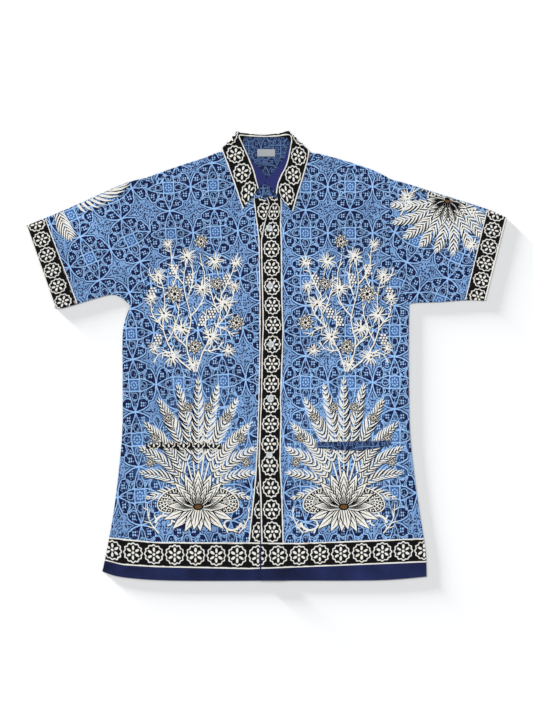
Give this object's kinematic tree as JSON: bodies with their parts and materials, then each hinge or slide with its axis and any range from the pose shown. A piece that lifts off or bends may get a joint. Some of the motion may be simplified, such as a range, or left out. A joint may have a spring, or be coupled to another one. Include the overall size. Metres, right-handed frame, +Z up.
{
  "type": "short-sleeved batik shirt",
  "caption": "Short-sleeved button-front shirt in blue batik with a rosette border on collar, cuffs, placket and hem, laid flat on its back.",
  "frame": {"origin": "under the middle of the laid-out shirt, on the surface that it lies on", "axes": "+X towards the wearer's left sleeve, +Y from the hem to the collar, +Z up, out of the front of the shirt"},
  "size_m": [0.8402, 0.7864, 0.0076],
  "materials": {
    "batik_front": "plain-weave cotton, wax-resist lattice print in three blues with cream motifs",
    "batik_back": "plain-weave cotton, wax-resist lattice print in three blues with a rosette border at the hem",
    "batik_sleeve": "plain-weave cotton, wax-resist lattice print with a rosette border at the cuff",
    "batik_inside": "inside face of the lattice print, duller and darker",
    "border_print": "black cotton with cream wax-resist rosettes between cream lines",
    "lattice_welt": "dark blue lattice-print cotton",
    "navy_cotton": "plain navy cotton",
    "label_cloth": "blank woven label, grey-white",
    "pearl_button": "glossy translucent pearl"
  },
  "bodies": {
    "root": {"back": "batik_back", "front_right": "batik_front", "front_left": "batik_front", "sleeve_right": "batik_sleeve", "sleeve_left": "batik_sleeve", "facing_right": "navy_cotton", "facing_left": "navy_cotton", "pocket_welt_right": "border_print", "pocket_welt_left": "lattice_welt", "collar_leaf": "border_print", "collar_stand": "batik_inside", "neck_label": "label_cloth", "button_1": "pearl_button", "button_2": "pearl_button", "button_3": "pearl_button", "button_4": "pearl_button", "button_5": "pearl_button"}
  },
  "joints": []
}
